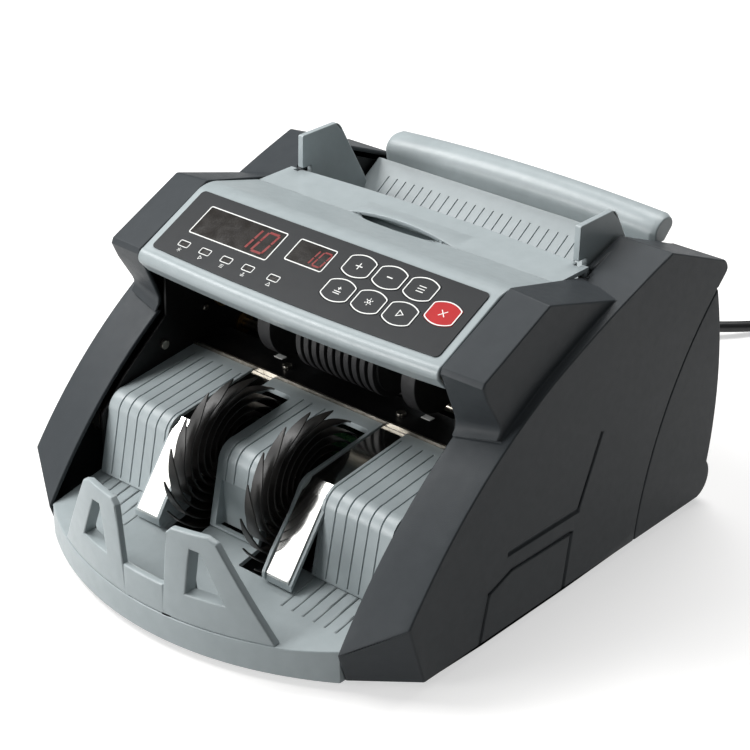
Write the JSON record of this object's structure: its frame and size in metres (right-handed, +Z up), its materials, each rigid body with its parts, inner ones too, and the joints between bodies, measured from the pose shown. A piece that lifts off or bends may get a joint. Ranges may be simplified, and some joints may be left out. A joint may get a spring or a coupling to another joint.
{
  "type": "banknote counting machine",
  "caption": "Desktop machine that feeds a stack of banknotes past sensors into a stacker with spiral vane wheels, counts them and shows the total on a keypad console.",
  "frame": {"origin": "on the resting surface, under the centre of the machine's own bounding box without its cord", "axes": "+Z up; -Y towards the front, where the note stop stands; +X to the right side seen from the front"},
  "size_m": [0.304, 0.5594, 0.175],
  "materials": {
    "housing": "fine matt texture",
    "rear_housing": "fine matt texture",
    "grey_plastic": "satin",
    "light_plastic": "satin",
    "hopper_black": "satin black",
    "overlay": "satin film",
    "key_grey": "satin",
    "key_red": "satin",
    "display_filter": "dark translucent look, opaque",
    "lamp_lens": "gloss",
    "circuit_board": "lacquered",
    "vane_rubber": "glossy moulded",
    "roller_rubber": "matt",
    "belt_rubber": "matt",
    "steel_shaft": "ground",
    "polished_steel": "polished",
    "frame_steel": "black painted sheet steel",
    "base_steel": "zinc plated sheet",
    "screw_steel": "plated",
    "bearing_bronze": "sintered",
    "sensor_white": "diffuse white",
    "motor_can": "plated",
    "transformer_iron": "varnished laminations",
    "lamp_glass": "gloss",
    "black_plastic": "satin",
    "cord_pvc": "satin flexible"
  },
  "bodies": {
    "machine": {"left_side_cover": "housing", "right_side_cover": "housing", "rear_cover": "rear_housing", "console_panel": "grey_plastic", "stacker_tray": "grey_plastic", "note_stop": "grey_plastic", "front_base": "grey_plastic", "hopper_bar": "light_plastic", "hopper_plate": "light_plastic", "hopper_front_wall": "hopper_black", "path_plate": "hopper_black", "keypad_overlay": "overlay", "display_lenses": "display_filter", "indicator_lamps": "lamp_lens", "display_board": "circuit_board", "control_board": "circuit_board", "rubber_feet": "roller_rubber", "drive_belts": "belt_rubber", "tie_rods": "steel_shaft", "path_edge": "steel_shaft", "slide_plates": "polished_steel", "side_frame_left": "frame_steel", "side_frame_right": "frame_steel", "base_plate": "base_steel", "screws_and_pins": "screw_steel", "bearings": "bearing_bronze", "sensor_windows": "sensor_white", "main_motor": "motor_can", "stacker_motor": "motor_can", "transformer": "transformer_iron", "uv_lamp": "lamp_glass", "power_inlet": "black_plastic", "cord_connector": "black_plastic", "mains_plug": "black_plastic", "power_cord": "cord_pvc", "cord_coil": "cord_pvc"},
    "stacker": {"stacker_shaft": "steel_shaft", "stacker_wheel_left": "vane_rubber", "stacker_wheel_right": "vane_rubber"},
    "feed": {"feed_shaft": "steel_shaft", "feed_roller": "roller_rubber", "feed_side_rollers": "roller_rubber"},
    "pickup": {"pickup_shaft": "steel_shaft", "pickup_rollers": "roller_rubber"},
    "pinch": {"pinch_shaft": "steel_shaft", "pinch_rollers": "roller_rubber"},
    "main_rotor": {"main_motor_rotor": "steel_shaft"},
    "stacker_rotor": {"stacker_motor_rotor": "steel_shaft"},
    "guide_left": {"hopper_guide_left": "light_plastic"},
    "guide_right": {"hopper_guide_right": "light_plastic"},
    "cover": {"feed_cover": "light_plastic"},
    "rocker": {"power_switch": "black_plastic"},
    "knob": {"gap_knob": "black_plastic"},
    "key_plus_body": {"key_plus": "key_grey"},
    "key_minus_body": {"key_minus": "key_grey"},
    "key_batch_body": {"key_batch": "key_grey"},
    "key_add_body": {"key_add": "key_grey"},
    "key_lamp_body": {"key_lamp": "key_grey"},
    "key_start_body": {"key_start": "key_grey"},
    "key_clear_body": {"key_clear": "key_red"}
  },
  "joints": [
    {"name": "stacker_spin", "type": "hinge", "parent": "machine", "child": "stacker", "pos_m": [0, -0.066, 0.054], "axis": [1, 0, 0], "continuous": true},
    {"name": "feed_spin", "type": "hinge", "parent": "machine", "child": "feed", "pos_m": [0, 0.007, 0.1005], "axis": [1, 0, 0], "continuous": true},
    {"name": "pickup_spin", "type": "hinge", "parent": "machine", "child": "pickup", "pos_m": [0, 0.05, 0.086], "axis": [1, 0, 0], "continuous": true},
    {"name": "pinch_spin", "type": "hinge", "parent": "machine", "child": "pinch", "pos_m": [0, 0.0212, 0.076], "axis": [1, 0, 0], "continuous": true},
    {"name": "main_motor_spin", "type": "hinge", "parent": "machine", "child": "main_rotor", "pos_m": [0, 0.1, 0.04], "axis": [1, 0, 0], "continuous": true},
    {"name": "stacker_motor_spin", "type": "hinge", "parent": "machine", "child": "stacker_rotor", "pos_m": [0, -0.018, 0.033], "axis": [1, 0, 0], "continuous": true},
    {"name": "guide_left_slide", "type": "slide", "parent": "machine", "child": "guide_left", "axis": [1, 0, 0], "range_m": [0, 0.025]},
    {"name": "guide_right_slide", "type": "slide", "parent": "machine", "child": "guide_right", "axis": [-1, 0, 0], "range_m": [0, 0.025]},
    {"name": "feed_cover_hinge", "type": "hinge", "parent": "machine", "child": "cover", "pos_m": [0, 0.0615, 0.1494], "axis": [-1, 0, 0], "range_deg": [0, 42]},
    {"name": "key_plus_press", "type": "slide", "parent": "machine", "child": "key_plus_body", "axis": [0, 0.4384, -0.8988], "range_m": [0, 0.0004], "stiffness_N_per_m": 800},
    {"name": "key_minus_press", "type": "slide", "parent": "machine", "child": "key_minus_body", "axis": [0, 0.4384, -0.8988], "range_m": [0, 0.0004], "stiffness_N_per_m": 800},
    {"name": "key_batch_press", "type": "slide", "parent": "machine", "child": "key_batch_body", "axis": [0, 0.4384, -0.8988], "range_m": [0, 0.0004], "stiffness_N_per_m": 800},
    {"name": "key_add_press", "type": "slide", "parent": "machine", "child": "key_add_body", "axis": [0, 0.4384, -0.8988], "range_m": [0, 0.0004], "stiffness_N_per_m": 800},
    {"name": "key_lamp_press", "type": "slide", "parent": "machine", "child": "key_lamp_body", "axis": [0, 0.4384, -0.8988], "range_m": [0, 0.0004], "stiffness_N_per_m": 800},
    {"name": "key_start_press", "type": "slide", "parent": "machine", "child": "key_start_body", "axis": [0, 0.4384, -0.8988], "range_m": [0, 0.0004], "stiffness_N_per_m": 800},
    {"name": "key_clear_press", "type": "slide", "parent": "machine", "child": "key_clear_body", "axis": [0, 0.4384, -0.8988], "range_m": [0, 0.0004], "stiffness_N_per_m": 800},
    {"name": "power_switch_rock", "type": "hinge", "parent": "machine", "child": "rocker", "pos_m": [-0.012, 0.136, 0.034], "axis": [1, 0, 0], "range_deg": [-7, 7]},
    {"name": "gap_knob_turn", "type": "hinge", "parent": "machine", "child": "knob", "pos_m": [0.06, 0.14, 0.112], "axis": [0, 1, 0], "range_deg": [-150, 150]}
  ],
  "couplings": [
    {"joint": "pickup_spin", "follows": "feed_spin", "ratio": 1},
    {"joint": "main_motor_spin", "follows": "feed_spin", "ratio": 1.75},
    {"joint": "stacker_motor_spin", "follows": "stacker_spin", "ratio": 1.7143}
  ]
}
